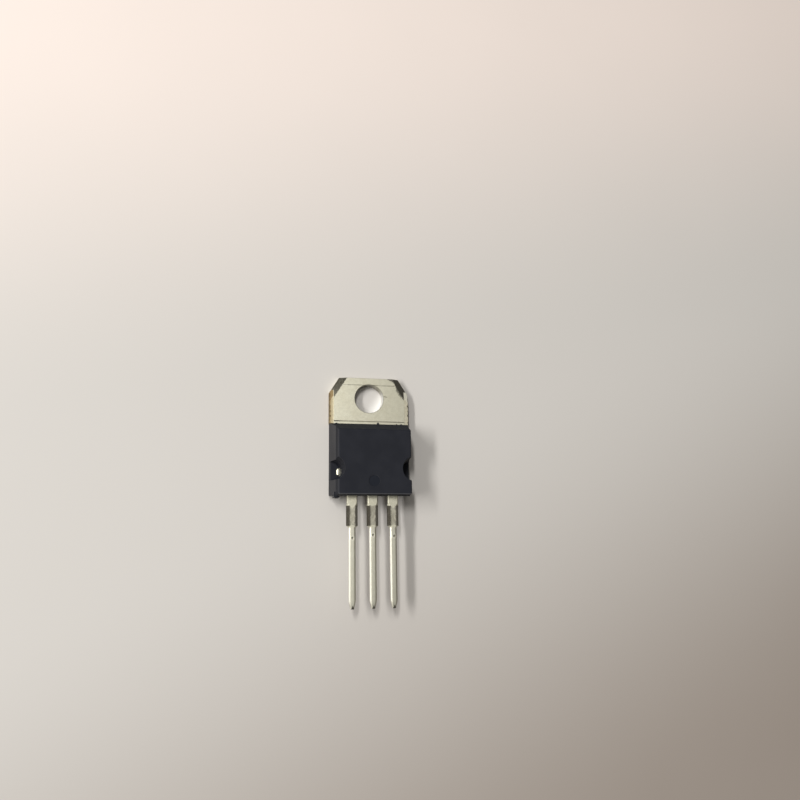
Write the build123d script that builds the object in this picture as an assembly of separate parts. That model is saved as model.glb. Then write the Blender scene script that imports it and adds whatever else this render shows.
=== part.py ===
from build123d import *
from math import atan2, degrees, tan
import os

# A three-lead linear voltage regulator in a plastic power package, lying on the back of its metal tab.
# Origin: centre of the screw hole, on the back of the tab. +Z points out of the front face, +Y towards
# the free end of the tab, and the leads run towards -Y. All lengths are in millimetres.

# Package outline
package_width = 10.28
package_thickness = 4.5
tab_thickness = 1.27
tab_exposed_length = 6.07
hole_diameter = 3.74
hole_to_tab_end = 2.74
body_length = 9.33
lead_pitch = 2.54
lead_length = 13.37
lead_back_height = 2.56
lead_thickness = 0.55

# Tab: cut corners, coined faces, die roll along the back of its sides, groove beside the moulding
corner_cut_width = 1.25
corner_cut_length = 2.0
corner_coin_width = 0.85
corner_coin_depth = 0.34
side_ledge_width = 0.54
side_ledge_length = 4.4
side_ledge_depth = 0.08
back_roll_width = 0.1
back_roll_depth = 0.25
end_coin_length = 0.95
end_coin_depth = 0.07
groove_offset = 0.32
groove_width = 0.14
groove_depth = 0.03

# Paddle: the tab's narrower run inside the moulding, with a step all round that keys into the plastic
paddle_side_cover = 0.87
paddle_end_cover = 2.5
paddle_step_width = 0.3
paddle_step_height = 0.45

# Leads: neck at the moulding, stub of the cut dam bar, thin blade and pointed tip
lead_neck_width = 1.26
lead_neck_length = 1.13
neck_bevel_width = 0.1
neck_bevel_depth = 0.09
lead_flare_length = 0.18
dam_width = 1.39
dam_length = 2.49
dam_bevel_width = 0.31
dam_bevel_depth = 0.2
dam_shoulder_length = 0.2
blade_width = 0.83
blade_bevel_width = 0.17
blade_bevel_depth = 0.14
lead_back_edge = 0.06
tip_length = 0.95
tip_width = 0.42
tip_thickness = 0.22
tip_edge = 0.05

# Lead ends inside the moulding: the middle lead's rise from the paddle, the outer leads' bonding posts
riser_run = 1.25
post_width = 2.4
post_length = 1.3
post_outset = 0.2
post_cover = 0.9

# Chip, solder and bond wires
die_size = 2.0
die_thickness = 0.3
die_to_paddle_end = 2.6
die_pad_share = 0.3
solder_margin = 0.1
solder_thickness = 0.05
wire_diameter = 0.25
wire_loop_height = 0.6
wire_knee_shares = (0.3, 0.72)
ground_wire_run = 1.5
bond_foot_length = 0.6
bond_foot_width = 0.34
bond_foot_height = 0.1

# Moulding: widest at its parting height, a sloped skirt up to the waist, then steep walls to the front,
# which sit a little to the right because the upper half of the mould didn't line up with the lower one
body_overhang = 0.02
body_back_inset = 0.14
body_parting_height = 0.9
body_waist_inset = 0.5
body_front_inset = 0.58
mould_mismatch = 0.12
body_tab_slope = 1.3
body_lead_draft = 0.05
body_back_draft = 0.28
body_corner_radius = 0.27
body_front_radius = 0.25

# Moulding marks: clamp pockets in both sides, ejector mark, broken-off gate
pocket_axis_inset = 0.06
pocket_to_lead_end = 3.23
pocket_floor_radius = 1.16
pocket_mouth_radius = 1.55
ejector_radius = 0.7
ejector_depth = 0.09
ejector_to_lead_end = 1.71
gate_width = 0.7
gate_height = 1.5
gate_reach = 0.2
gate_to_side = 0.79
gate_back_height = 1.1

# How far cutting and joining shapes run past the faces they meet
overrun = 0.5

# Places worked out from the sizes above
tab_end_y = hole_to_tab_end
body_line_y = tab_end_y - tab_exposed_length
body_end_y = body_line_y - body_length
body_width = package_width + 2 * body_overhang
paddle_width = package_width - 2 * paddle_side_cover
paddle_end_y = body_end_y + paddle_end_cover
lead_tip_y = body_end_y - lead_length
lead_front_height = lead_back_height + lead_thickness
lead_middle_height = lead_back_height + lead_thickness / 2
body_waist_height = lead_middle_height
die_y = paddle_end_y + die_to_paddle_end
die_back_height = tab_thickness + solder_thickness
die_front_height = die_back_height + die_thickness
post_x = lead_pitch + post_outset
post_y = body_end_y + post_cover + post_length / 2
from_below = (Align.CENTER, Align.CENTER, Align.MIN)


def mirrored(shape):
    """The shape and its mirror image about the middle plane of the package."""
    return shape + mirror(shape, about=Plane.YZ)


def ramp_cutter(edge_plane, width, depth, length):
    """Prism that coins a sloping face: edge_plane lies on the edge, its x axis points off the part."""
    slope = Polygon((-width, 0), (width, -2 * depth), (width, overrun), align=None)
    return extrude(edge_plane * slope, length, both=True)


def tab_plate():
    """Tab and paddle, punched from thick strip, with the coined faces, the groove and the screw hole."""
    half_width = package_width / 2
    half_paddle = paddle_width / 2
    right_outline = [
        (0, paddle_end_y),
        (half_paddle, paddle_end_y),
        (half_paddle, body_line_y),
        (half_width, body_line_y),
        (half_width, tab_end_y - corner_cut_length),
        (half_width - corner_cut_width, tab_end_y),
        (0, tab_end_y),
    ]
    plate = mirrored(extrude(Polygon(*right_outline, align=None), tab_thickness))

    corner_middle = (half_width - corner_cut_width / 2, tab_end_y - corner_cut_length / 2, tab_thickness)
    corner_plane = Plane(
        origin=corner_middle,
        x_dir=(corner_cut_length, corner_cut_width, 0),
        z_dir=(corner_cut_width, -corner_cut_length, 0),
    )
    corner_coin = ramp_cutter(corner_plane, corner_coin_width, corner_coin_depth, package_width / 2)

    end_plane = Plane(origin=(0, tab_end_y, tab_thickness), x_dir=(0, 1, 0), z_dir=(1, 0, 0))
    end_coin = ramp_cutter(end_plane, end_coin_length, end_coin_depth, package_width)

    ledge_x = half_width - side_ledge_width
    ledge = Pos(ledge_x, body_line_y, tab_thickness - side_ledge_depth) * Box(
        side_ledge_width + overrun, side_ledge_length, side_ledge_depth + overrun, align=Align.MIN
    )

    side_plane = Plane(origin=(half_width, 0, 0), x_dir=(1, 0, 0), z_dir=(0, 1, 0))
    back_roll = ramp_cutter(side_plane, back_roll_width, back_roll_depth, tab_exposed_length)

    groove_plane = Plane(
        origin=(0, body_line_y + groove_offset, tab_thickness), x_dir=(0, 1, 0), z_dir=(1, 0, 0)
    )
    groove_profile = Polygon(
        (-groove_width / 2, 0), (0, -groove_depth), (groove_width / 2, 0), align=None
    )
    groove = extrude(groove_plane * groove_profile, package_width / 2, both=True)

    side_step = Pos(half_paddle - paddle_step_width, paddle_end_y, 0) * Box(
        paddle_step_width, body_line_y - paddle_end_y, paddle_step_height, align=Align.MIN
    )
    end_step = Pos(0, paddle_end_y, 0) * Box(
        paddle_width, paddle_step_width, paddle_step_height, align=(Align.CENTER, Align.MIN, Align.MIN)
    )
    hole = Cylinder(hole_diameter / 2, tab_thickness, align=from_below)
    for cutter in (corner_coin, ledge, back_roll, side_step):
        plate -= mirrored(cutter)
    return plate - end_coin - groove - end_step - hole


def lead_section(x, y, width, thickness, bevel_width, bevel_depth, back_edge):
    """Cross-section of a lead at a place along it: bevelled front edges, small edges at the back."""
    side = width / 2
    front = thickness / 2
    outline = [
        (-side, front - bevel_depth),
        (-side, back_edge - front),
        (back_edge - side, -front),
        (side - back_edge, -front),
        (side, back_edge - front),
        (side, front - bevel_depth),
        (side - bevel_width, front),
        (bevel_width - side, front),
    ]
    return Plane.XZ.offset(-y) * Pos(x, lead_middle_height) * Polygon(*outline, align=None)


def lead_blank(x):
    """The run of a lead that leaves the moulding: neck, dam-bar stub, blade and tip, lofted in one."""
    neck = (lead_neck_width, lead_thickness, neck_bevel_width, neck_bevel_depth, lead_back_edge)
    dam = (dam_width, lead_thickness, dam_bevel_width, dam_bevel_depth, lead_back_edge)
    blade = (blade_width, lead_thickness, blade_bevel_width, blade_bevel_depth, lead_back_edge)
    tip = (tip_width, tip_thickness, tip_edge, tip_edge, tip_edge)
    dam_start_y = body_end_y - lead_neck_length
    dam_end_y = dam_start_y - dam_length
    stations = [
        (body_end_y + post_cover, neck),
        (dam_start_y + lead_flare_length, neck),
        (dam_start_y, dam),
        (dam_end_y, dam),
        (dam_end_y - dam_shoulder_length, blade),
        (lead_tip_y + tip_length, blade),
        (lead_tip_y, tip),
    ]
    return loft([lead_section(x, y, *profile) for y, profile in stations], ruled=True)


def riser():
    """The middle lead's bent root, which climbs from the paddle's front to the plane of the leads."""
    climb = lead_front_height - tab_thickness
    bend = lead_thickness * tan(atan2(climb, riser_run) / 2)
    flat_end_y = body_end_y + post_cover
    side_view = [
        (paddle_end_y + overrun, tab_thickness),
        (paddle_end_y, tab_thickness),
        (paddle_end_y - riser_run, lead_front_height),
        (flat_end_y - overrun, lead_front_height),
        (flat_end_y - overrun, lead_back_height),
        (paddle_end_y - riser_run - bend, lead_back_height),
        (paddle_end_y - bend, tab_thickness - lead_thickness),
        (paddle_end_y + overrun, tab_thickness - lead_thickness),
    ]
    return extrude(Plane.YZ * Polygon(*side_view, align=None), lead_neck_width / 2, both=True)


def input_lead():
    """Left lead, with the widened post inside the moulding that its bond wire lands on."""
    post = Pos(-post_x, post_y, lead_back_height) * Box(
        post_width, post_length, lead_thickness, align=from_below
    )
    return post + lead_blank(-lead_pitch)


def bond_wire(start, end, loop_height, supports):
    """Wire in three straight runs with a flattened foot at each end, cut flush with what it is bonded to."""
    sunk = Vector(0, 0, wire_diameter / 2)
    knees = [start + (end - start) * share for share in wire_knee_shares]
    path = Polyline(start - sunk, *[(knee.X, knee.Y, loop_height) for knee in knees], end - sunk)
    section = Plane(origin=path @ 0, z_dir=path % 0) * Circle(wire_diameter / 2)
    wire = sweep(section, path=path, transition=Transition.RIGHT)
    heading = degrees(atan2(end.Y - start.Y, end.X - start.X))
    foot = extrude(SlotOverall(bond_foot_length, bond_foot_width), bond_foot_height)
    for place in (start, end):
        wire += Pos(*place) * Rot(0, 0, heading) * foot
    for support in supports:
        wire -= support
    return wire


def moulded_body(inserts):
    """Epoxy moulding: the end view and the side view of the package, crossed, around the inserts."""
    half_width = body_width / 2
    half_waist = half_width - body_waist_inset
    half_front = half_width - body_front_inset
    end_view = [
        (body_back_inset - half_width, 0),
        (half_width - body_back_inset, 0),
        (half_width, body_parting_height),
        (mould_mismatch + half_waist, body_waist_height),
        (mould_mismatch + half_front, package_thickness),
        (mould_mismatch - half_front, package_thickness),
        (mould_mismatch - half_waist, body_waist_height),
        (-half_width, body_parting_height),
    ]
    side_view = [
        (body_end_y + body_back_draft, 0),
        (body_end_y, lead_middle_height),
        (body_end_y + body_lead_draft, package_thickness),
        (body_line_y - body_tab_slope, package_thickness),
        (body_line_y, tab_thickness),
        (body_line_y, 0),
    ]
    end_reach = overrun - body_end_y
    end_block = extrude(Plane.XZ * Polygon(*end_view, align=None), end_reach, both=True)
    side_reach = half_width + overrun
    side_block = extrude(Plane.YZ * Polygon(*side_view, align=None), side_reach, both=True)
    body = end_block & side_block
    lead_end_edges = body.edges().filter_by(lambda edge: edge.center().Y < body_end_y + body_lead_draft)
    body = fillet(lead_end_edges.filter_by(Axis.X, reverse=True), body_corner_radius)
    front_edges = body.faces().sort_by(Axis.Z)[-1].edges()
    body = fillet(front_edges, body_front_radius)

    pocket_y = body_end_y + pocket_to_lead_end
    pocket_depth = package_thickness - tab_thickness
    mouth_flare = (pocket_mouth_radius - pocket_floor_radius) / pocket_depth
    pocket = Pos(half_width - pocket_axis_inset, pocket_y, tab_thickness) * Cone(
        pocket_floor_radius,
        pocket_mouth_radius + mouth_flare * overrun,
        pocket_depth + overrun,
        align=from_below,
    )
    ejector_mark = Pos(0, body_end_y + ejector_to_lead_end, package_thickness - ejector_depth) * Cylinder(
        ejector_radius, ejector_depth + overrun, align=from_below
    )
    gate = Pos(gate_to_side - half_width, body_end_y - gate_reach, gate_back_height) * Box(
        gate_width, gate_reach + overrun, gate_height, align=(Align.CENTER, Align.MIN, Align.MIN)
    )
    body = body + gate - mirrored(pocket) - ejector_mark
    for insert in inserts:
        body -= insert
    return body


tab = tab_plate() + riser() + lead_blank(0)
left_lead = input_lead()
right_lead = mirror(left_lead, about=Plane.YZ)
solder = Pos(0, die_y, tab_thickness) * Box(
    die_size + 2 * solder_margin, die_size + 2 * solder_margin, solder_thickness, align=from_below
)
die = Pos(0, die_y, die_back_height) * Box(die_size, die_size, die_thickness, align=from_below)

pad_offset = die_pad_share * die_size
left_pad = Vector(-pad_offset, die_y - pad_offset, die_front_height)
left_landing = Vector(-post_x, post_y, lead_front_height)
left_wire = bond_wire(left_pad, left_landing, lead_front_height + wire_loop_height, [die, left_lead])
right_wire = mirror(left_wire, about=Plane.YZ)
ground_pad = Vector(0, die_y + pad_offset, die_front_height)
ground_landing = Vector(0, die_y + die_size / 2 + ground_wire_run, tab_thickness)
ground_wire = bond_wire(ground_pad, ground_landing, die_front_height + wire_loop_height, [die, tab])

pieces = {
    "tab_with_ground_lead": tab,
    "input_lead": left_lead,
    "output_lead": right_lead,
    "die_attach_solder": solder,
    "regulator_die": die,
    "input_bond_wire": left_wire,
    "output_bond_wire": right_wire,
    "ground_bond_wire": ground_wire,
}
pieces["moulded_body"] = moulded_body(list(pieces.values()))

os.makedirs("parts", exist_ok=True)
for name, shape in pieces.items():
    export_step(shape, f"parts/{name}.step")
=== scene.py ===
import math

import bmesh
import bpy
from mathutils import Euler, Matrix, Vector, noise


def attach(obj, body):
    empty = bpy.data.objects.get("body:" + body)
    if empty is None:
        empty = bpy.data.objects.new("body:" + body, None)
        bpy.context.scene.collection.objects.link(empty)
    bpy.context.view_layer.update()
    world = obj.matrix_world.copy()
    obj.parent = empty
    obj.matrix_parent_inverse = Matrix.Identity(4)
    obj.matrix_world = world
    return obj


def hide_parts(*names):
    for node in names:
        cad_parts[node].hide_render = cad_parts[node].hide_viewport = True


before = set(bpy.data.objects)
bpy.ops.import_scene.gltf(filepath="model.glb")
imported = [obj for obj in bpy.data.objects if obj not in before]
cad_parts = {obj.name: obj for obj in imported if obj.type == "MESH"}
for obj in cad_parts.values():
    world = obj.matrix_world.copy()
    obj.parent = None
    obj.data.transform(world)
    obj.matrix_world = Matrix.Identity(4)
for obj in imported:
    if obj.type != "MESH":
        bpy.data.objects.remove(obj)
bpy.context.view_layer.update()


# Tab with ground lead: thick copper strip, punched, coined along its edges, bent up into the middle lead
# and tin plated all over. The webs that held it in its strip were cut off afterwards, so both sides of the
# tab show bare copper. The moulding holds its paddle, and a screw through the hole holds the tab.
mm = 0.001  # sizes and places below are in millimetres, from the middle of the hole at the back
tab_front = 1.27
tab_side = 5.14
ledge_front = 1.19
ledge_side = 4.6
ledge_end = 1.08
body_line = -3.33
body_end = -12.66
lead_pitch = 2.54
blade_front = 3.11
blade_dents = {
    "input_lead": (-2.495, -17.74),
    "tab_with_ground_lead": (0.043, -17.4),
    "output_lead": (2.66, -17.54),
}


def merged_copy(node):
    """A copy of a CAD node's mesh to work on, closed, with the triangles of each flat face joined."""
    same_place = 0.001 * mm
    flat_turn = math.radians(0.6)
    bm = bmesh.new()
    bm.from_mesh(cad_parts[node].data)
    bmesh.ops.remove_doubles(bm, verts=bm.verts, dist=same_place)
    bmesh.ops.dissolve_limit(bm, angle_limit=flat_turn, verts=bm.verts, edges=bm.edges)
    return bm


def corner_edges(bm, chosen):
    """The edges between two faces that meet at an angle, where the middle of the edge passes the test."""
    least_turn = math.radians(20)
    edges = []
    for edge in bm.edges:
        middle = (edge.verts[0].co + edge.verts[1].co) / (2 * mm)
        if edge.is_manifold and edge.calc_face_angle(0) > least_turn and chosen(*middle):
            edges.append(edge)
    return edges


def round_off(bm, edges, radius, segments=3):
    """Rounds edges off to a radius."""
    bmesh.ops.bevel(
        bm, geom=edges, offset=radius * mm, offset_type="OFFSET", segments=segments, profile=0.5,
        affect="EDGES", clamp_overlap=True, material=-1,
    )


def extra_cuts(bm, x_cuts, y_cuts):
    """New edges round a piece at each y, and between the first and the last of them at each x."""
    for y in y_cuts:
        whole = bm.verts[:] + bm.edges[:] + bm.faces[:]
        bmesh.ops.bisect_plane(bm, geom=whole, dist=1e-8, plane_co=(0, y * mm, 0), plane_no=(0, 1, 0))
    for x in x_cuts:
        held = [face for face in bm.faces if min(y_cuts) < face.calc_center_median().y / mm < max(y_cuts)]
        part = list(dict.fromkeys(item for face in held for item in (face, *face.edges, *face.verts)))
        bmesh.ops.bisect_plane(bm, geom=part, dist=1e-8, plane_co=(x * mm, 0, 0), plane_no=(1, 0, 0))


def made_piece(name, bm, material, node=None, smooth_turn=12):
    """Turns a worked mesh into a finished piece on the part's one body, for a CAD node if one is named."""
    bm.normal_update()
    for face in bm.faces:
        face.smooth = True
    for edge in bm.edges:
        edge.smooth = edge.calc_face_angle(0) < math.radians(smooth_turn)
    mesh = bpy.data.meshes.new(name)
    bm.to_mesh(mesh)
    bm.free()
    if "custom_normal" in mesh.attributes:
        mesh.attributes.remove(mesh.attributes["custom_normal"])
    mesh.materials.append(material)
    piece = bpy.data.objects.new(name, mesh)
    bpy.context.scene.collection.objects.link(piece)
    flat_faces = piece.modifiers.new("flat faces stay flat", "WEIGHTED_NORMAL")
    flat_faces.keep_sharp = True
    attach(piece, "root")
    if node:
        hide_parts(node)


class Shade:
    """A shader socket to reckon with: + - * add a Math node, & takes the lower value and | the higher one."""

    def __init__(self, tree, socket=None):
        self.tree = tree
        self.socket = socket

    def node(self, kind, settings=(), inputs=(), output=0):
        """Adds a node: first its settings, then the values or links of its sockets. Gives one output."""
        made = self.tree.nodes.new("ShaderNode" + kind)
        for key, value in dict(settings).items():
            setattr(made, key, value)
        for key, value in dict(inputs).items():
            if isinstance(value, Shade):
                self.tree.links.new(value.socket, made.inputs[key])
            else:
                made.inputs[key].default_value = value
        return Shade(self.tree, made.outputs[output])

    def math(self, operation, first, second=0.0):
        return self.node("Math", {"operation": operation}, {0: first, 1: second})

    def __add__(self, other):
        return self.math("ADD", self, other)

    def __radd__(self, other):
        return self.math("ADD", other, self)

    def __sub__(self, other):
        return self.math("SUBTRACT", self, other)

    def __rsub__(self, other):
        return self.math("SUBTRACT", other, self)

    def __mul__(self, other):
        return self.math("MULTIPLY", self, other)

    def __rmul__(self, other):
        return self.math("MULTIPLY", other, self)

    def __abs__(self):
        return self.math("ABSOLUTE", self)

    def __and__(self, other):
        return self.math("MINIMUM", self, other)

    def __or__(self, other):
        return self.math("MAXIMUM", self, other)


def new_finish(name):
    """A new material, its Principled shader and a Shade to build its nodes with."""
    material = bpy.data.materials.new(name)
    material.use_nodes = True
    tree = material.node_tree
    return material, tree.nodes["Principled BSDF"], Shade(tree)


def three_numbers(vector):
    """The three parts of a vector, each as a number."""
    return [vector.node("SeparateXYZ", inputs={0: vector}, output=axis) for axis in "XYZ"]


def place_mm(shade):
    """The place on the part in millimetres, as a vector and as its three numbers."""
    metres = shade.node("TexCoord", output="Object")
    place = shade.node("VectorMath", {"operation": "SCALE"}, {0: metres, "Scale": 1 / mm})
    return place, three_numbers(place)


def facing(shade):
    """The way that the surface faces, as three numbers from -1 to 1."""
    return three_numbers(shade.node("NewGeometry", output="Normal"))


def rise(value, low, high):
    """0 below low, 1 above high, with a soft step between them."""
    limits = {"Value": value, "From Min": low, "From Max": high}
    return value.node("MapRange", {"interpolation_type": "SMOOTHSTEP"}, limits)


def strip(value, middle, half_width, softness):
    """1 within half_width of a middle value, fading to 0 over the softness beyond it."""
    return rise(half_width + softness - abs(value - middle), 0.0, softness)


def grain(place, scale, detail=3.0, roughness=0.5):
    """Irregular pattern from 0 to 1 with about scale spots to the millimetre."""
    noise_inputs = {"Vector": place, "Scale": scale, "Detail": detail, "Roughness": roughness}
    return place.node("TexNoise", inputs=noise_inputs)


def stretched(place, stretch):
    """The place with its three axes scaled, for a grain that runs along one of them."""
    return place.node("VectorMath", {"operation": "MULTIPLY"}, {0: place, 1: stretch})


def tint(factor, first, second):
    """Colour that runs from first to second as the factor goes from 0 to 1."""
    return factor.node("Mix", {"data_type": "RGBA"}, {0: factor, 6: first, 7: second}, output=2)


def feed(shader, socket, value):
    """Links a value or colour into a socket of a shader."""
    value.tree.links.new(value.socket, shader.inputs[socket])


def uneven(height, strength, depth):
    """The normal of a surface that is uneven by a depth in millimetres, following a height from 0 to 1."""
    bump_inputs = {"Strength": strength, "Distance": depth * mm, "Height": height}
    return height.node("Bump", inputs=bump_inputs, output="Normal")


def tinned_copper(name):
    """Dull tin over the whole strip, and on it the marks of coining, cutting, trimming and handling."""
    material, shader, shade = new_finish(name)
    place, (x, y, _) = place_mm(shade)
    facing_x, facing_y, facing_z = facing(shade)
    facing_up = rise(facing_z, 0.5, 0.7)
    across = abs(x)
    right = rise(x, -0.5, 0.5)
    on_tab = rise(y, body_line - 0.02, body_line)
    wobble = grain(place, 3.0, 4.0, 0.65) - 0.5
    fine_wobble = grain(place, 9.0, 3.0, 0.6) - 0.5

    # plating: crystals, clouds and mottling, with painted shade that darkens the tab towards the right
    crystals = rise(grain(place, 13.0, 4.0, 0.65), 0.34, 0.66)
    clouds = rise(grain(place, 0.8, 3.0), 0.4, 0.7)
    mottling = rise(grain(place, 2.4, 2.0), 0.38, 0.66)
    # painted shade: the tab's tin darkens towards the right
    painted_right_shade = rise(x + wobble, -5.5, 5.5) * 0.28 & on_tab
    tin = tint(crystals, (0.593, 0.566, 0.443, 1), (0.724, 0.699, 0.572, 1))
    tin = tint(clouds * 0.3, tin, (0.56, 0.52, 0.385, 1))
    tin = tint(mottling * 0.2, tin, (0.47, 0.445, 0.34, 1))
    tin = tint(painted_right_shade, tin, (0.46, 0.436, 0.335, 1))

    # dark burnished band along each cut corner, straight on the left and ragged and bent on the right
    corner_x, corner_y = 0.848, 0.53
    corner_distance = 4.751
    left_limit = -0.86
    past_corner = corner_x * across + corner_y * y - corner_distance
    near_bend = 0.35 * ((0.5 - y) | 0.0)
    far_bend = 0.9 * ((y - 2.25) | 0.0)
    right_limit = near_bend - far_bend - 0.24 * rise(2.1 - y, 0.0, 1.1) - 0.80
    limit = right * (right_limit - left_limit) + left_limit
    ragged = fine_wobble * (0.2 + 0.65 * right) + wobble * (0.16 + 0.12 * right)
    off_ledge = rise(ledge_side - across, 0.0, 0.03) | rise(y, ledge_end - 0.03, ledge_end)
    band = rise(past_corner - limit + ragged, -0.07, 0.06) & off_ledge & facing_up & rise(y, -1.2, -0.6)

    # coined line across the tab, and the groove beside the moulding, darkest at its left end
    line_y, line_reach = 1.79, 3.5
    groove_y, groove_reach = body_line + 0.32, 4.55
    line = strip(y + wobble * 0.04, line_y, 0.02, 0.04) & rise(line_reach - across, 0.0, 0.2)
    line = line * (0.35 + 0.65 * rise(grain(place, 1.7), 0.3, 0.55)) & facing_up
    groove_dark = rise(-3.4 - x, 0.0, 0.8) + 0.3 * rise(x, 1.5, 3.2) + 0.12 * rise(-1.2 - x, 0.0, 1.5)
    groove = strip(y + wobble * 0.05, groove_y, 0.04, 0.035) & rise(groove_reach - across, 0.0, 0.05)
    groove = groove * (groove_dark & 1.0) & rise(facing_z, 0.2, 0.3)

    # smooth wall of the punched hole: painted light makes it paler, and duller, on its lower right side, where
    # it faces the lamps; painted shade darkens the rest of it, and its rim is darker too
    rim_square = 3.8  # square of a radius just past the rim
    hole_wall = rise(rim_square - x * x - y * y, 0.0, 0.15)
    wall_rim = hole_wall & rise(facing_z, 0.05, 0.25)
    painted_lit_wall = hole_wall & rise(0.6 * facing_y - facing_x, 0.3, 0.9) & (1.0 - wall_rim)

    # bare copper where the side webs were cut off: the ledge, its lip, the torn side and the burrs
    along_ledge = rise(ledge_end - y, 0.0, 0.04) & on_tab
    ledge = rise(across, ledge_side, ledge_side + 0.04) & along_ledge & facing_up
    lip = rise(across, ledge_side, ledge_side + 0.06) & along_ledge & strip(abs(facing_x), 0.4, 0.2, 0.1)
    bright_lip = lip & right
    torn_side = rise(abs(facing_x), 0.6, 0.75) & rise(across, tab_side - 0.15, tab_side - 0.05) & on_tab
    to_rim = rise(across + wobble * 0.25, ledge_side + 0.02, tab_side)
    torn = rise(grain(place, 2.4, 4.0, 0.7), 0.44, 0.62)
    browned = to_rim | 0.6 * torn | 0.75 * rise(y + wobble, 0.5, 0.95)
    copper = (ledge * (1.0 - 0.8 * right) * (0.55 + 0.4 * to_rim)) | (torn_side * 0.9)
    burr_reach = across + wobble * 0.2 + fine_wobble * 0.2 + 0.14 * torn * (1.0 - right)
    burrs = ledge & rise(burr_reach, tab_side - 0.07, tab_side)
    streaks = grain(stretched(place, (1.0, 1.0, 0.12)), 7.0, 4.0, 0.7)
    burnt = (torn_side * rise(streaks, 0.42, 0.62)) | burrs

    # stub of the dam bar, cut after plating: dark sheared bevels and a greyer middle
    stub_start = body_end - 1.11
    stub_end = body_end - 3.68
    stub_half = 0.42
    lead_side = x - lead_pitch * shade.math("ROUND", x * (1 / lead_pitch))
    from_middle = abs(lead_side)
    middle_lead = rise(lead_pitch / 2 + 0.03 - across, 0.0, 0.1)
    stub_bulge = rise(stub_half - from_middle, 0.0, 0.4)
    stub_top = stub_start - 0.3 * stub_bulge * (1.0 - 0.8 * middle_lead)
    stub_foot = stub_end + 0.1 * stub_bulge
    below_top = rise(stub_top - y + fine_wobble * 0.12, 0.0, 0.12)
    stub = below_top & rise(y - stub_foot + fine_wobble * 0.1, 0.0, 0.08)
    smears = rise(grain(stretched(place, (1.0, 0.3, 1.0)), 6.0, 4.0, 0.7), 0.36, 0.64)
    shear_reach = from_middle + fine_wobble * 0.2 + 0.06 * smears - 0.04 * rise(lead_side, -0.1, 0.1)
    sheared = stub & rise(shear_reach, 0.18, stub_half)
    sheared_right = rise(facing_x, -0.3, 0.3)

    # blades: cut tips, a painted highlight on the left bevels, painted shade towards the right, and each dent
    # darker with a paler rim round it
    blade_start = body_end - 3.7
    tip_line = -25.52
    on_blade = rise(blade_start - y, 0.0, 0.3)
    cut_tip = rise(tip_line - y - 2.1 * abs(lead_side - 0.05) + fine_wobble * 0.2, 0.0, 0.12)
    # painted highlight along the left bevel of each blade
    painted_edge_highlight = rise(0.0 - facing_x, 0.35, 0.6) & rise(0.0 - lead_side, 0.29, 0.36) & on_blade
    hollow = 0.0
    raised = 0.0
    for dent_x, dent_y in blade_dents.values():
        to_x = x - dent_x
        to_y = y - dent_y
        spread = 1.5 * to_x * to_x + to_y * to_y + fine_wobble * 0.06
        hollow = rise(0.04 - spread, 0.0, 0.025) | hollow
        raised = rise(0.13 - spread, 0.0, 0.06) | raised
    dent = hollow & facing_up
    dent_rim = (raised - hollow) & facing_up

    # one short scratch right of the hole
    scratch_x, scratch_y = 2.15, 0.31
    scratch_slope = y + 0.17 * (x - scratch_x) + fine_wobble * 0.05
    scratch = strip(scratch_slope, scratch_y, 0.02, 0.04) & strip(x, scratch_x, 0.18, 0.08) & facing_up

    # colours, laid over the tin one after the other
    # painted shade: the blades darken from the left lead to the right one
    shaded_blade_tin = tint(rise(x, -2.6, 2.6), (0.74, 0.72, 0.62, 1), (0.56, 0.55, 0.48, 1))
    bare_copper = tint(browned, (0.60, 0.49, 0.29, 1), (0.36, 0.27, 0.14, 1))
    lip_colour = tint(right, (0.26, 0.19, 0.1, 1), (0.66, 0.63, 0.52, 1))
    # painted light and shade on the hole's wall: pale where it faces the lamps, dark elsewhere
    painted_wall_light_shade = tint(painted_lit_wall, (0.34, 0.325, 0.265, 1), (0.72, 0.71, 0.67, 1))
    shear_colour = tint(sheared_right, (0.038, 0.032, 0.024, 1), (0.08, 0.071, 0.055, 1))
    band_fade = right | rise(1.9 - y, 0.0, 1.2) * 0.3
    band_colour = tint(band_fade, (0.034, 0.031, 0.023, 1), (0.16, 0.149, 0.12, 1))
    colour = tint(on_blade * 0.4, tin, shaded_blade_tin)
    # painted shade on the right part of each blade
    colour = tint((on_blade & rise(lead_side, -0.05, 0.3)) * 0.45, colour, (0.40, 0.385, 0.31, 1))
    # painted highlight on the blades' left bevels
    colour = tint(painted_edge_highlight * 0.6, colour, (0.97, 0.95, 0.88, 1))
    colour = tint(dent_rim * 0.35, colour, (0.9, 0.88, 0.76, 1))
    colour = tint(stub * (0.25 + 0.4 * smears + 0.15 * middle_lead), colour, (0.25, 0.228, 0.185, 1))
    colour = tint(copper, colour, bare_copper)
    colour = tint(lip, colour, lip_colour)
    colour = tint(hole_wall, colour, painted_wall_light_shade)
    colour = tint(wall_rim * 0.8, colour, (0.36, 0.345, 0.27, 1))
    colour = tint((line | scratch | dent) * 0.75, colour, (0.14, 0.125, 0.09, 1))
    colour = tint(groove * 0.9, colour, (0.06, 0.055, 0.04, 1))
    colour = tint(burnt * 0.85, colour, (0.09, 0.06, 0.03, 1))
    colour = tint(sheared * (0.9 + 0.4 * fine_wobble), colour, shear_colour)
    colour = tint(cut_tip * 0.95, colour, (0.024, 0.02, 0.014, 1))
    colour = tint(band * (0.93 + 0.5 * fine_wobble), colour, band_colour)
    feed(shader, "Base Color", colour)

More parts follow.
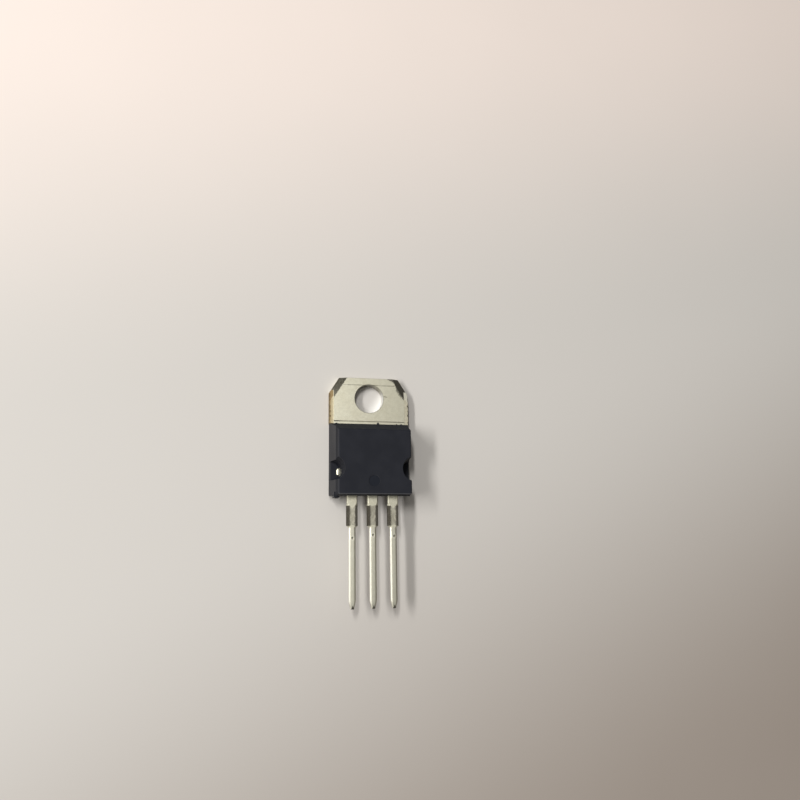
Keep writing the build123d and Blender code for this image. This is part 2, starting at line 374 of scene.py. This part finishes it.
    # the plating is half dull, the band and the hole's wall smoother, cut metal rougher
    dull_wall = painted_lit_wall | wall_rim
    roughness = 0.44 + 0.14 * crystals - 0.1 * band + 0.12 * copper - 0.28 * hole_wall
    feed(shader, "Roughness", roughness + 0.4 * dull_wall + 0.2 * sheared)
    dirty_cut = sheared * sheared_right | cut_tip | bright_lip
    feed(shader, "Metallic", 1.0 - 0.85 * dirty_cut - 0.7 * painted_lit_wall)
    plating = (grain(place, 26.0, 2.0) * 0.6 + crystals * 0.3) * (1.0 - hole_wall)
    rough_cut = (copper | burnt | sheared) * grain(place, 8.0, 4.0, 0.7)
    height = plating + rough_cut * 3.0 - scratch * 3.0 - line * 2.0
    feed(shader, "Normal", uneven(height, strength=0.4, depth=0.008))
    return material


def web_edge(x, y, z):
    return abs(x) > tab_side - 0.02 and y > body_line and abs(z - ledge_front) < 0.02


def hole_rim(x, y, z):
    return math.hypot(x, y) < 2.0


def tab_rim(x, y, z):
    return math.hypot(x, y) > 2.2 and (y > 1.15 or (y > body_line + 0.02 and z < 0.6))


def lead_rim(x, y, z):
    return y < body_end - 0.05


def press_dent(bm, dent):
    """A small round dent in the front of a blade, where the trimming tool or a test clip struck it."""
    dent_radius = 0.18
    dent_depth = 0.05
    steps = [dent_radius / 3 * step for step in range(-3, 4)]
    extra_cuts(bm, [dent[0] + step for step in steps], [dent[1] + step for step in steps])
    for vert in bm.verts:
        x, y, z = vert.co / mm
        away = math.hypot(x - dent[0], y - dent[1]) / dent_radius
        if away < 1 and abs(z - blade_front) < 0.01:
            vert.co.z -= dent_depth * (1 - away * away) ** 2 * mm


tinned_finish = tinned_copper("tinned copper")
tab_shape = merged_copy("tab_with_ground_lead")

# the cut side edges: ragged where the webs broke away
bites_to_an_edge = 54
least_bite = 0.02
deeper_bite = 0.14
cut_edges = [edge for edge in corner_edges(tab_shape, web_edge) if edge.calc_length() > 2 * mm]
broken = bmesh.ops.subdivide_edges(tab_shape, edges=cut_edges, cuts=bites_to_an_edge)
for vert in broken["geom_inner"]:
    if isinstance(vert, bmesh.types.BMVert):
        bite = max(0.0, noise.noise(vert.co * 3.1 / mm) + 0.35 * noise.noise(vert.co * 9.0 / mm))
        vert.co.x -= math.copysign((least_bite + deeper_bite * bite) * mm, vert.co.x)

# rounded rims of the hole, the tab and its lead
lead_round = 0.02
round_off(tab_shape, corner_edges(tab_shape, hole_rim), 0.04)
round_off(tab_shape, corner_edges(tab_shape, tab_rim), 0.05)
round_off(tab_shape, corner_edges(tab_shape, lead_rim), lead_round, segments=2)

# the paddle's front edge, pressed down where the mould's clamp pins held it, with a slope at each end
pressed_from = 4.07
pressed_slopes = (-8.95, -9.07, -9.88, -10.0)
pressed_depth = 0.09
extra_cuts(tab_shape, (-pressed_from, pressed_from), pressed_slopes)
for vert in tab_shape.verts:
    x, y, z = vert.co / mm
    between_slopes = pressed_slopes[2] - 0.02 < y < pressed_slopes[1] + 0.02
    if between_slopes and abs(x) > pressed_from + 0.13 and abs(z - tab_front) < 0.01:
        vert.co.z -= pressed_depth * mm

press_dent(tab_shape, blade_dents["tab_with_ground_lead"])
made_piece("tab_and_ground_lead_tinned", tab_shape, tinned_finish, "tab_with_ground_lead")


# Outer leads: the same tinned copper strip, trimmed from its dam bar. Each ends in a bonding post inside
# the moulding, which holds it.
for lead in ("input_lead", "output_lead"):
    lead_shape = merged_copy(lead)
    round_off(lead_shape, corner_edges(lead_shape, lead_rim), lead_round, segments=2)
    press_dent(lead_shape, blade_dents[lead])
    made_piece(lead + "_tinned", lead_shape, tinned_finish, lead)


# Chip, its solder and the bond wires: a polished silicon die soldered to the paddle, with drawn aluminium
# wires welded to it by ultrasound. The moulding seals them in.
def sealed_metal(name, dark, light, roughness, stretch):
    """Metal or silicon with fine streaks that run along the axis that is stretched least."""
    material, shader, shade = new_finish(name)
    place, _ = place_mm(shade)
    streaks = grain(stretched(place, stretch), 12.0, 3.0)
    feed(shader, "Base Color", tint(streaks, dark, light))
    feed(shader, "Roughness", roughness + 0.15 * streaks)
    shader.inputs["Metallic"].default_value = 1.0
    feed(shader, "Normal", uneven(streaks, strength=0.2, depth=0.004))
    return material


solder_finish = sealed_metal("soft solder", (0.42, 0.42, 0.43, 1), (0.6, 0.6, 0.61, 1), 0.35, (1, 1, 1))
chip_finish = sealed_metal("polished silicon", (0.2, 0.21, 0.24, 1), (0.3, 0.31, 0.35, 1), 0.08, (1, 0.2, 1))
wire_finish = sealed_metal("drawn aluminium", (0.72, 0.72, 0.73, 1), (0.86, 0.86, 0.87, 1), 0.25, (4, 0.3, 4))
inner_finishes = {"die_attach_solder": solder_finish, "regulator_die": chip_finish}
for wire in ("input_bond_wire", "output_bond_wire", "ground_bond_wire"):
    inner_finishes[wire] = wire_finish
for node, finish in inner_finishes.items():
    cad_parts[node].material_slots[0].material = finish


# Moulded body: black epoxy filled with ground silica, moulded round the metal. The eroded mould faces left a
# fine matt skin on the front, the ejector pin a shallow mark, and the runner broke off at the lower left.
body_front = 4.5
body_side = 5.16
pocket_y = -9.43
ejector_y = -10.95
waist = 2.835


def black_epoxy(name):
    """Matt from the eroded upper half of the mould, smoother on the skirt from the lower half."""
    material, matt, shade = new_finish(name)
    place, (x, y, z) = place_mm(shade)
    facing_x, facing_y, facing_z = facing(shade)
    skin = grain(place, 16.0, 4.0, 0.7)
    clouds = rise(grain(place, 0.6, 3.0), 0.3, 0.7)
    bump = uneven(skin, strength=0.5, depth=0.01)

    # edges of the front rubbed paler and given a painted highlight, most towards the leads
    at_front = rise(z, body_front - 0.3, body_front - 0.2) & rise(0.3 - facing_y, 0.0, 0.2)
    rubbed_and_highlight = rise(0.97 - facing_z, 0.0, 0.15) & rise(facing_z, 0.15, 0.5) & at_front
    rubbed_and_highlight_colour = tint(rise(0.0 - facing_y, 0.2, 0.5), (0.040, 0.040, 0.044, 1), (0.10, 0.10, 0.106, 1))
    # pale lip at the foot of each pocket as painted light, smooth ejector mark, and painted shade that makes
    # the slope at the tab's end darker and bluer
    pocket_foot = rise(tab_front + 0.03 - z, 0.0, 0.02)
    painted_light_pocket_lip = rise(abs(x), 4.9, 4.98) & pocket_foot & rise(facing_z, 0.5, 0.8)
    mark_square = 0.46  # square of the mark's radius
    from_mark = x * x + (y - ejector_y) * (y - ejector_y)
    marked = rise(mark_square - from_mark, 0.0, 0.06) & rise(z, body_front - 0.2, body_front - 0.15)
    slope = rise(facing_y, 0.4, 0.7)
    matt_colour = tint(clouds, (0.0165, 0.0175, 0.0222, 1), (0.0200, 0.0210, 0.0262, 1))
    # rubbed wear and painted highlight on the edges of the front
    matt_colour = tint(rubbed_and_highlight * (0.5 + skin * 0.4), matt_colour, rubbed_and_highlight_colour)
    # painted light on the lip at the foot of each pocket
    matt_colour = tint(painted_light_pocket_lip, matt_colour, (0.036, 0.036, 0.039, 1))
    matt_colour = tint(marked * 0.4, matt_colour, (0.008, 0.011, 0.018, 1))
    # painted shade on the slope at the tab's end, against the light thrown back by the tab
    matt_colour = tint(slope, matt_colour, (0.012, 0.0145, 0.021, 1))
    feed(matt, "Base Color", matt_colour)
    feed(matt, "Roughness", 0.66 + 0.2 * (skin - 0.5))
    matt.inputs["Specular IOR Level"].default_value = 0.08
    feed(matt, "Normal", bump)

    # the skirt below the waist, apart from the pockets
    smooth_colour = tint(clouds, (0.009, 0.0095, 0.014, 1), (0.013, 0.0135, 0.018, 1))
    smooth_roughness = 0.36 + 0.2 * (skin - 0.5)
    smooth = shade.node("BsdfPrincipled", inputs={
        "Base Color": smooth_colour, "Roughness": smooth_roughness, "Normal": bump, "Specular IOR Level": 0.3,
    })
    pocket_x = 5.1
    pocket_square = 1.25  # square of the pocket's radius
    from_side = abs(x) - pocket_x
    from_pocket = from_side * from_side + (y - pocket_y) * (y - pocket_y)
    below_pocket = rise(tab_front - 0.01 - z, 0.0, 0.02)
    clear_of_pocket = rise(from_pocket, pocket_square, pocket_square + 0.15) | below_pocket
    skirt = rise(abs(facing_x), 0.5, 0.7) & rise(waist + 0.03 - z, 0.0, 0.04) & clear_of_pocket
    matt_socket = Shade(material.node_tree, matt.outputs[0])
    mixed = shade.node("MixShader", inputs={0: skirt, 1: matt_socket, 2: smooth})
    feed(material.node_tree.nodes["Material Output"], "Surface", mixed)
    return material


def slope_mitre(x, y, z):
    return abs(x) > 4.4 and body_line - 1.4 < y < body_line - 0.05 and z > tab_front + 0.08


def pocket_rim(x, y, z):
    return abs(x) > 3.4 and abs(y - pocket_y) < 1.75 and z > tab_front + 0.08


def ejector_rim(x, y, z):
    return math.hypot(x, y - ejector_y) < 0.75 and z > body_front - 0.05


def broad_rim(x, y, z):
    return abs(x) > body_side - 0.03 and 0.8 < z < 1.0


epoxy_finish = black_epoxy("black epoxy")
body_shape = merged_copy("moulded_body")
for rim, radius in ((slope_mitre, 0.1), (pocket_rim, 0.06), (ejector_rim, 0.03), (broad_rim, 0.06)):
    round_off(body_shape, corner_edges(body_shape, rim), radius)

# the gate: a rough broken face
gate_cuts = 7
gate_crumble = 0.12
gate_sideways = 0.05
gate_faces = [face for face in body_shape.faces if face.calc_center_median().y < (body_end - 0.05) * mm]
gate_edges = list(dict.fromkeys(edge for face in gate_faces for edge in face.edges))
bmesh.ops.subdivide_edges(body_shape, edges=gate_edges, cuts=gate_cuts, use_grid_fill=True)
for vert in body_shape.verts:
    if vert.co.y < (body_end - 0.03) * mm:
        crumble = 0.5 + 0.5 * noise.noise(vert.co * 3.7 / mm) + 0.3 * noise.noise(vert.co * 11.0 / mm)
        vert.co.y += gate_crumble * crumble * mm
        vert.co.x += gate_sideways * noise.noise(vert.co * 6.0 / mm) * mm
made_piece("moulded_body_epoxy", body_shape, epoxy_finish, "moulded_body", smooth_turn=32)


# Mould flash: thin epoxy that crept over the metal as the mould filled. Ragged tongues lie on the tab along
# the moulding, and in each clamp pocket a film covers the ends of the bare metal.
film_thickness = 0.025
tab_tongues = [
    [
        (0.96, body_line), (1.28, body_line), (1.27, -3.22), (1.2, -3.12), (1.1, -3.1), (1.0, -3.16),
        (0.98, -3.27),
    ],
    [(3.42, body_line), (3.7, body_line), (3.63, -3.28), (3.56, -3.24), (3.5, -3.29)],
    [(4.04, body_line), (4.3, body_line), (4.24, -3.28), (4.14, -3.22), (4.08, -3.28)],
    [(-4.4, body_line), (-4.05, body_line), (-4.12, -3.28), (-4.28, -3.25)],
]
pocket_films = [
    [(4.3, -8.5), (3.8, -8.5), (3.85, -8.9), (4.0, -9.1), (4.12, -9.12), (4.3, -9.32)],
    [(4.3, -9.82), (4.14, -9.9), (4.02, -9.88), (3.85, -10.0), (3.8, -10.16), (4.3, -10.16)],
]
both_pockets = [[(side * x, y) for x, y in film] for side in (-1, 1) for film in pocket_films]
flash_shape = bmesh.new()
for outline in tab_tongues + both_pockets:
    film = flash_shape.faces.new([flash_shape.verts.new((x * mm, y * mm, tab_front * mm)) for x, y in outline])
    thickened = bmesh.ops.extrude_face_region(flash_shape, geom=[film])
    for item in thickened["geom"]:
        if isinstance(item, bmesh.types.BMVert):
            item.co.z += film_thickness * mm
bmesh.ops.recalc_face_normals(flash_shape, faces=flash_shape.faces)
made_piece("mould_flash", flash_shape, epoxy_finish)


# Floor: a large sheet of plain pale paper that the part lies on. Painted light falloff: its tone darkens
# towards the near right and grows paler and warmer towards the far left, as the lamps' light would fall.
floor_reach = 3.0
floor_shape = bmesh.new()
bmesh.ops.create_grid(floor_shape, x_segments=1, y_segments=1, size=floor_reach)
floor_mesh = bpy.data.meshes.new("floor")
floor_shape.to_mesh(floor_mesh)
floor_shape.free()
floor = bpy.data.objects.new("floor", floor_mesh)
bpy.context.scene.collection.objects.link(floor)
floor_finish, floor_shader, floor_shade = new_finish("pale floor")
floor_place, (floor_x, floor_y, _) = place_mm(floor_shade)
paper = grain(floor_place, 0.05, 2.0) * 0.1
# painted light falloff across the floor
painted_near_falloff = rise(floor_y - 0.45 * floor_x, -72.0, -8.0)
painted_far_light = rise(floor_y - 0.2 * floor_x, 5.0, 60.0)
floor_tone = tint(painted_near_falloff, (0.32, 0.27, 0.23, 1), (0.592, 0.562, 0.523, 1))
floor_tone = tint(painted_far_light, floor_tone, (0.80, 0.70, 0.635, 1))
floor_tone = tint(paper, floor_tone, (0.5, 0.47, 0.43, 1))
# under the hole a paler patch stands for the light that its bright wall throws down
below_hole = rise(2.2 - floor_x * floor_x * 0.6 - floor_y * floor_y * 0.6, 0.0, 0.6)
thrown_light = below_hole & rise(0.8 * floor_x - 0.6 * floor_y, 0.2, 1.9)
feed(floor_shader, "Base Color", tint(thrown_light, floor_tone, (0.8, 0.78, 0.74, 1)))
floor_shader.inputs["Roughness"].default_value = 0.9
floor_mesh.materials.append(floor_finish)


# Light: two long soft lamps that run along the leads, one at the left and one nearly overhead, and a dim
# room, darkest at the right and beyond the leads.
def add_lamp(name, place, length, width, energy):
    """A long lamp that faces the part and runs along y."""
    data = bpy.data.lights.new(name, "AREA")
    data.shape = "ELLIPSE"
    data.size = length
    data.size_y = width
    data.energy = energy
    lamp = bpy.data.objects.new(name, data)
    lamp.location = place
    away = lamp.location.normalized()
    along = (Vector((0, 1, 0)) - away * away.y).normalized()
    lamp.rotation_euler = Matrix((along, away.cross(along), away)).transposed().to_euler()
    bpy.context.scene.collection.objects.link(lamp)


add_lamp("left lamp", (-0.245, 0.01, 0.25), length=0.26, width=0.037, energy=0.82)
add_lamp("upper lamp", (-0.115, 0.11, 0.37), length=0.14, width=0.03, energy=0.66)

world = bpy.data.worlds.new("soft room")
world.use_nodes = True
room = Shade(world.node_tree)
east, north, up = three_numbers(room.node("TexCoord", output="Generated"))
overhead = rise(0.83 * up - 0.42 * east + 0.36 * north, 0.5, 0.95)
brightness = rise(0.4 * up - 0.5 * east + 0.3 * north, -0.6, 0.9)
wall_tone = tint(brightness, (0.12, 0.118, 0.114, 1), (0.36, 0.354, 0.342, 1))
background = world.node_tree.nodes["Background"]
feed(background, "Color", tint(overhead, wall_tone, (0.55, 0.54, 0.52, 1)))
background.inputs["Strength"].default_value = 0.78
bpy.context.scene.world = world


# Camera: held a little left of and below the part, looking almost straight down, as in the photograph.
# Its place, turn and lens were fitted to the leads, the hole and the tab.
camera_place = (-16.264, -21.287, 90.447)
camera_degrees = (13.41, -12.511, 1.911)
camera_data = bpy.data.cameras.new("camera")
camera_data.sensor_width = 36.0
camera_data.lens = 32.4
camera_data.clip_start = 1 * mm
camera = bpy.data.objects.new("camera", camera_data)
camera.location = Vector(camera_place) * mm
camera_turn = Euler([math.radians(turn) for turn in camera_degrees], "ZYX")
camera.rotation_euler = camera_turn.to_matrix().to_euler()
bpy.context.scene.collection.objects.link(camera)
bpy.context.scene.camera = camera
bpy.context.scene.view_settings.view_transform = "Standard"
